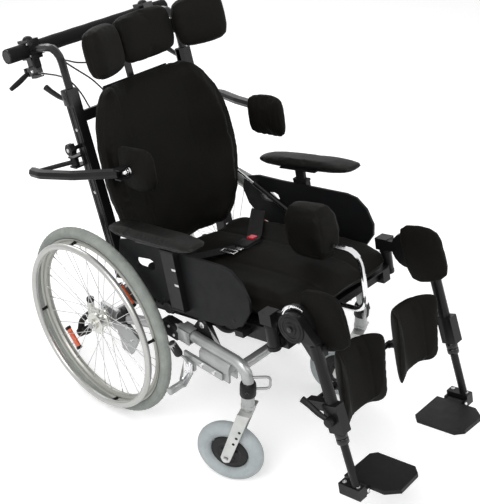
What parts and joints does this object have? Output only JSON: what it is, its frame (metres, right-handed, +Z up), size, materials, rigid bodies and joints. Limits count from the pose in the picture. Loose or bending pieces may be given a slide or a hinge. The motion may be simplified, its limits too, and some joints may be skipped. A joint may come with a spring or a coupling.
{
  "type": "wheelchair",
  "caption": "Care wheelchair with tilting seat, reclining back, headrest, lateral supports, pommel and elevating legrests",
  "frame": {"origin": "on the floor, in the middle of the bounding box's footprint", "axes": "Z up; the sitter faces -Y, so +Y is the rear; +X is the sitter's left"},
  "size_m": [0.7564, 1.3848, 1.2004],
  "materials": {
    "silver_paint": "satin silver coat",
    "wheel_metal": "satin",
    "polished": "polished",
    "black_frame": "satin black coat",
    "black_paint": "satin black",
    "black_plastic": "fine grain",
    "panel": "fine grain",
    "fabric": "coated stretch fabric over foam",
    "arm_skin": "soft grained skin over foam",
    "webbing": "woven strap",
    "foam": "closed-cell foam",
    "cable": "smooth sleeve",
    "grey_tyre": "matt grey",
    "castor_tyre": "matt light grey",
    "button_red": "smooth"
  },
  "bodies": {
    "base": {"base_frame": "silver_paint"},
    "wheel_right": {"rear_wheel_right": "wheel_metal", "rear_tyre_right": "grey_tyre", "pushrim_right": "wheel_metal"},
    "castor_fork_right": {"castor_fork_right": "silver_paint"},
    "castor_wheel_right": {"castor_hub_right": "black_plastic", "castor_tyre_right": "castor_tyre"},
    "parking_brake_right": {"parking_brake_right": "silver_paint"},
    "wheel_left": {"rear_wheel_left": "wheel_metal", "rear_tyre_left": "grey_tyre", "pushrim_left": "wheel_metal"},
    "castor_fork_left": {"castor_fork_left": "silver_paint"},
    "castor_wheel_left": {"castor_hub_left": "black_plastic", "castor_tyre_left": "castor_tyre"},
    "parking_brake_left": {"parking_brake_left": "silver_paint"},
    "seat": {"seat_frame": "black_frame", "seat_cushion": "fabric", "side_panel_right": "panel", "side_panel_left": "panel", "armrest_post_right": "black_frame", "armrest_post_left": "black_frame", "lap_belt": "webbing"},
    "belt_button": {"belt_button": "button_red"},
    "armrest_right": {"armrest_pad_right": "arm_skin"},
    "armrest_left": {"armrest_pad_left": "arm_skin"},
    "pommel": {"pommel_pad": "fabric", "pommel_bar": "polished"},
    "back": {"back_frame": "black_frame", "back_shell": "black_plastic", "back_cushion": "fabric", "tilt_cable": "cable", "recline_cable": "cable"},
    "tilt_spring_cylinder": {"tilt_spring_cylinder": "silver_paint"},
    "tilt_spring_rod": {"tilt_spring_rod": "polished"},
    "recline_spring_cylinder": {"recline_spring_cylinder": "silver_paint"},
    "recline_spring_rod": {"recline_spring_rod": "polished"},
    "push_bar": {"push_bar_tube": "black_frame", "push_bar_grip": "foam"},
    "hand_lever_right": {"hand_lever_right": "black_plastic"},
    "hand_lever_left": {"hand_lever_left": "black_plastic"},
    "headrest": {"headrest_stem": "black_paint", "headrest_pad": "fabric"},
    "headrest_wing_right": {"headrest_wing_right": "fabric"},
    "lateral_arm_right": {"lateral_arm_right": "black_frame"},
    "lateral_pad_right": {"lateral_pad_right": "fabric"},
    "legrest_right": {"legrest_hanger_right": "black_frame"},
    "leg_right": {"leg_tube_right": "black_frame", "knee_pad_right": "fabric"},
    "calf_right": {"calf_pad_right": "fabric"},
    "foot_right": {"foot_tube_right": "black_frame"},
    "footplate_right": {"footplate_right": "black_plastic"},
    "headrest_wing_left": {"headrest_wing_left": "fabric"},
    "lateral_arm_left": {"lateral_arm_left": "black_frame"},
    "lateral_pad_left": {"lateral_pad_left": "fabric"},
    "legrest_left": {"legrest_hanger_left": "black_frame"},
    "leg_left": {"leg_tube_left": "black_frame", "knee_pad_left": "fabric"},
    "calf_left": {"calf_pad_left": "fabric"},
    "foot_left": {"foot_tube_left": "black_frame"},
    "footplate_left": {"footplate_left": "black_plastic"}
  },
  "joints": [
    {"name": "wheel_spin_right", "type": "hinge", "parent": "base", "child": "wheel_right", "pos_m": [-0.292, 0.354, 0.305], "axis": [1, 0, 0], "continuous": true},
    {"name": "castor_swivel_right", "type": "hinge", "parent": "base", "child": "castor_fork_right", "pos_m": [-0.252, -0.218, 0.101], "axis": [0, 0, 1], "continuous": true},
    {"name": "castor_spin_right", "type": "hinge", "parent": "castor_fork_right", "child": "castor_wheel_right", "pos_m": [-0.27148, -0.16979, 0.101], "axis": [0.9272, 0.3746, 0], "continuous": true},
    {"name": "parking_brake_right", "type": "hinge", "parent": "base", "child": "parking_brake_right", "pos_m": [-0.2785, -0.017, 0.335], "axis": [1, 0, 0], "range_deg": [0, 21]},
    {"name": "wheel_spin_left", "type": "hinge", "parent": "base", "child": "wheel_left", "pos_m": [0.292, 0.354, 0.305], "axis": [1, 0, 0], "continuous": true},
    {"name": "castor_swivel_left", "type": "hinge", "parent": "base", "child": "castor_fork_left", "pos_m": [0.252, -0.218, 0.101], "axis": [0, 0, 1], "continuous": true},
    {"name": "castor_spin_left", "type": "hinge", "parent": "castor_fork_left", "child": "castor_wheel_left", "pos_m": [0.23252, -0.16979, 0.101], "axis": [0.9272, 0.3746, 0], "continuous": true},
    {"name": "parking_brake_left", "type": "hinge", "parent": "base", "child": "parking_brake_left", "pos_m": [0.2785, -0.017, 0.335], "axis": [1, 0, 0], "range_deg": [0, 21]},
    {"name": "seat_tilt", "type": "hinge", "parent": "base", "child": "seat", "pos_m": [0, -0.036, 0.46], "axis": [-1, 0, 0], "range_deg": [-13, 6.5]},
    {"name": "belt_button_press", "type": "slide", "parent": "seat", "child": "belt_button", "axis": [0, -0.225, -0.9744], "range_m": [0, 0.003], "stiffness_N_per_m": 400},
    {"name": "armrest_height_right", "type": "slide", "parent": "seat", "child": "armrest_right", "axis": [0, 0.225, 0.9744], "range_m": [0, 0.07]},
    {"name": "armrest_height_left", "type": "slide", "parent": "seat", "child": "armrest_left", "axis": [0, 0.225, 0.9744], "range_m": [0, 0.07]},
    {"name": "pommel_slide", "type": "slide", "parent": "seat", "child": "pommel", "axis": [0, -0.9744, 0.225], "range_m": [-0.03, 0.06]},
    {"name": "back_recline", "type": "hinge", "parent": "seat", "child": "back", "pos_m": [0, 0.3204, 0.47008], "axis": [-1, 0, 0], "range_deg": [0, 35]},
    {"name": "tilt_spring_swing", "type": "hinge", "parent": "base", "child": "tilt_spring_cylinder", "pos_m": [0, -0.184, 0.357], "axis": [-1, 0, 0], "range_deg": [-7.27, 3.69]},
    {"name": "tilt_spring_stroke", "type": "slide", "parent": "tilt_spring_cylinder", "child": "tilt_spring_rod", "axis": [0, 1, -0.0014], "range_m": [-0.01125, 0.02239]},
    {"name": "recline_spring_swing", "type": "hinge", "parent": "seat", "child": "recline_spring_cylinder", "pos_m": [0.245, 0.05395, 0.56957], "axis": [-1, 0, 0], "range_deg": [-0.1, 12.67]},
    {"name": "recline_spring_stroke", "type": "slide", "parent": "recline_spring_cylinder", "child": "recline_spring_rod", "axis": [0, 0.9639, 0.2664], "range_m": [-0.0001, 0.08929]},
    {"name": "push_bar_height", "type": "slide", "parent": "back", "child": "push_bar", "axis": [0, 0.309, 0.9511], "range_m": [0, 0.12], "deforming": ["tilt_cable", "recline_cable"]},
    {"name": "hand_lever_right", "type": "hinge", "parent": "push_bar", "child": "hand_lever_right", "pos_m": [-0.249, 0.63378, 1.01386], "axis": [0, 0.9511, -0.309], "range_deg": [0, 16], "stiffness_Nm_per_rad": 1},
    {"name": "hand_lever_left", "type": "hinge", "parent": "push_bar", "child": "hand_lever_left", "pos_m": [0.249, 0.63378, 1.01386], "axis": [0, -0.9511, 0.309], "range_deg": [0, 16], "stiffness_Nm_per_rad": 1},
    {"name": "headrest_height", "type": "slide", "parent": "back", "child": "headrest", "axis": [0, 0.309, 0.9511], "range_m": [-0.02, 0.06]},
    {"name": "headrest_wing_right", "type": "hinge", "parent": "headrest", "child": "headrest_wing_right", "pos_m": [-0.112, 0.4535, 1.09977], "axis": [0, 0.309, 0.9511], "range_deg": [-20, 13]},
    {"name": "lateral_swing_right", "type": "hinge", "parent": "back", "child": "lateral_arm_right", "pos_m": [-0.252, 0.45709, 0.79368], "axis": [0, -0.1908, -0.9816], "range_deg": [0, 75]},
    {"name": "lateral_pad_turn_right", "type": "hinge", "parent": "lateral_arm_right", "child": "lateral_pad_right", "pos_m": [-0.249, 0.24113, 0.83566], "axis": [0, 0.1908, 0.9816], "range_deg": [-12, 12]},
    {"name": "legrest_swing_right", "type": "hinge", "parent": "seat", "child": "legrest_right", "pos_m": [-0.245, -0.30395, 0.52186], "axis": [0, -0.225, -0.9744], "range_deg": [0, 90]},
    {"name": "leg_elevate_right", "type": "hinge", "parent": "legrest_right", "child": "leg_right", "pos_m": [-0.25, -0.36968, 0.62838], "axis": [-1, 0, 0], "range_deg": [-5, 45]},
    {"name": "calf_pad_turn_right", "type": "hinge", "parent": "leg_right", "child": "calf_right", "pos_m": [-0.25, -0.43717, 0.42362], "axis": [1, 0, 0], "range_deg": [-8, 8]},
    {"name": "leg_length_right", "type": "slide", "parent": "leg_right", "child": "foot_right", "axis": [0, -0.3827, -0.9239], "range_m": [-0.08, 0.045]},
    {"name": "footplate_fold_right", "type": "hinge", "parent": "foot_right", "child": "footplate_right", "pos_m": [-0.228, -0.58235, 0.21424], "axis": [0, -0.9744, 0.225], "range_deg": [0, 85]},
    {"name": "headrest_wing_left", "type": "hinge", "parent": "headrest", "child": "headrest_wing_left", "pos_m": [0.112, 0.4535, 1.09977], "axis": [0, -0.309, -0.9511], "range_deg": [-30, 3]},
    {"name": "lateral_swing_left", "type": "hinge", "parent": "back", "child": "lateral_arm_left", "pos_m": [0.252, 0.4608, 0.8051], "axis": [0, 0.1908, 0.9816], "range_deg": [0, 75]},
    {"name": "lateral_pad_turn_left", "type": "hinge", "parent": "lateral_arm_left", "child": "lateral_pad_left", "pos_m": [0.275, 0.17416, 0.86081], "axis": [0, 0.1908, 0.9816], "range_deg": [-12, 12]},
    {"name": "legrest_swing_left", "type": "hinge", "parent": "seat", "child": "legrest_left", "pos_m": [0.245, -0.30395, 0.52186], "axis": [0, 0.225, 0.9744], "range_deg": [0, 90]},
    {"name": "leg_elevate_left", "type": "hinge", "parent": "legrest_left", "child": "leg_left", "pos_m": [0.25, -0.36968, 0.62838], "axis": [-1, 0, 0], "range_deg": [-5, 45]},
    {"name": "calf_pad_turn_left", "type": "hinge", "parent": "leg_left", "child": "calf_left", "pos_m": [0.25, -0.43717, 0.42362], "axis": [1, 0, 0], "range_deg": [-8, 8]},
    {"name": "leg_length_left", "type": "slide", "parent": "leg_left", "child": "foot_left", "axis": [0, -0.3827, -0.9239], "range_m": [-0.08, 0.045]},
    {"name": "footplate_fold_left", "type": "hinge", "parent": "foot_left", "child": "footplate_left", "pos_m": [0.228, -0.58235, 0.21424], "axis": [0, 0.9744, -0.225], "range_deg": [0, 85]}
  ],
  "couplings": [
    {"joint": "tilt_spring_swing", "follows": "seat_tilt", "ratio": 0.5514},
    {"joint": "tilt_spring_stroke", "follows": "seat_tilt", "m_per_rad": -0.0982},
    {"joint": "recline_spring_swing", "follows": "back_recline", "ratio": 0.3589},
    {"joint": "recline_spring_stroke", "follows": "back_recline", "m_per_rad": 0.146}
  ]
}
